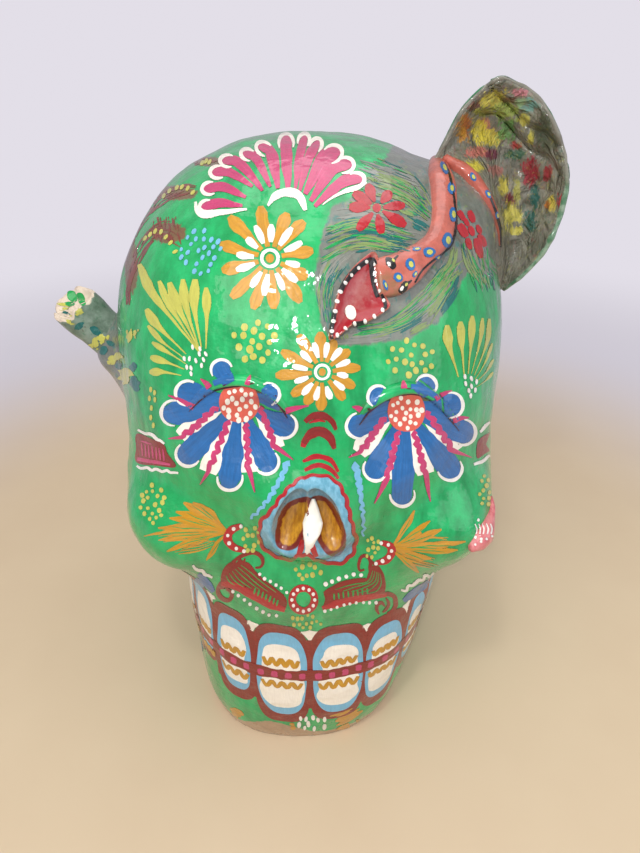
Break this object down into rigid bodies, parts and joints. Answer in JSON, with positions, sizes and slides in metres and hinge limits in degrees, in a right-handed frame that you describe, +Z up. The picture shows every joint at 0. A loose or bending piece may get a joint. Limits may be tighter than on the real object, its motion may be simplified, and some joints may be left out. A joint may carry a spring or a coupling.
{
  "type": "painted papier-mache skull",
  "caption": "Free-standing hollow papier-mache skull with eye and nose recesses, a broken branch stub, a leaf-shaped hood and a snake modelled over the crown.",
  "frame": {"origin": "on the flat underside, on the cranium's mid plane, 10 mm in front of the seam between the two halves", "axes": "+Z up, the face looks towards -Y, +X is the viewer's right"},
  "size_m": [0.2043, 0.2089, 0.2721],
  "materials": {
    "green_paint": "glossy varnish over hand-brushed poster paint",
    "blue_paint": "glossy varnish over hand-brushed poster paint",
    "ochre_paint": "glossy varnish over hand-brushed poster paint",
    "cream_paint": "semi-gloss, paper fibre showing at broken edges",
    "coral_paint": "glossy varnish over hand-brushed poster paint",
    "rose_paint": "glossy varnish over hand-brushed poster paint",
    "red_paint": "glossy varnish over hand-brushed poster paint",
    "moss_paint": "satin, dabbed with a dry brush over crumpled paper",
    "kraft_paper": "matt, bare paper",
    "cardboard": "matt, bare board",
    "steel_wire": "dull drawn wire"
  },
  "bodies": {
    "root": {"front_shell": "green_paint", "back_shell": "green_paint", "seam_band": "kraft_paper", "base_plate": "cardboard", "eye_cup_left": "blue_paint", "eye_cup_right": "blue_paint", "nose_cup": "ochre_paint", "nasal_septum": "cream_paint", "branch_skin": "moss_paint", "branch_core": "cream_paint", "branch_wire": "steel_wire", "hood_leaf": "moss_paint", "hood_rim": "moss_paint", "hood_wire": "steel_wire", "snake_head": "coral_paint", "snake_mouth": "red_paint", "snake_tongue": "cream_paint", "snake_neck": "coral_paint", "snake_body": "coral_paint", "snake_tail": "rose_paint"}
  },
  "joints": []
}
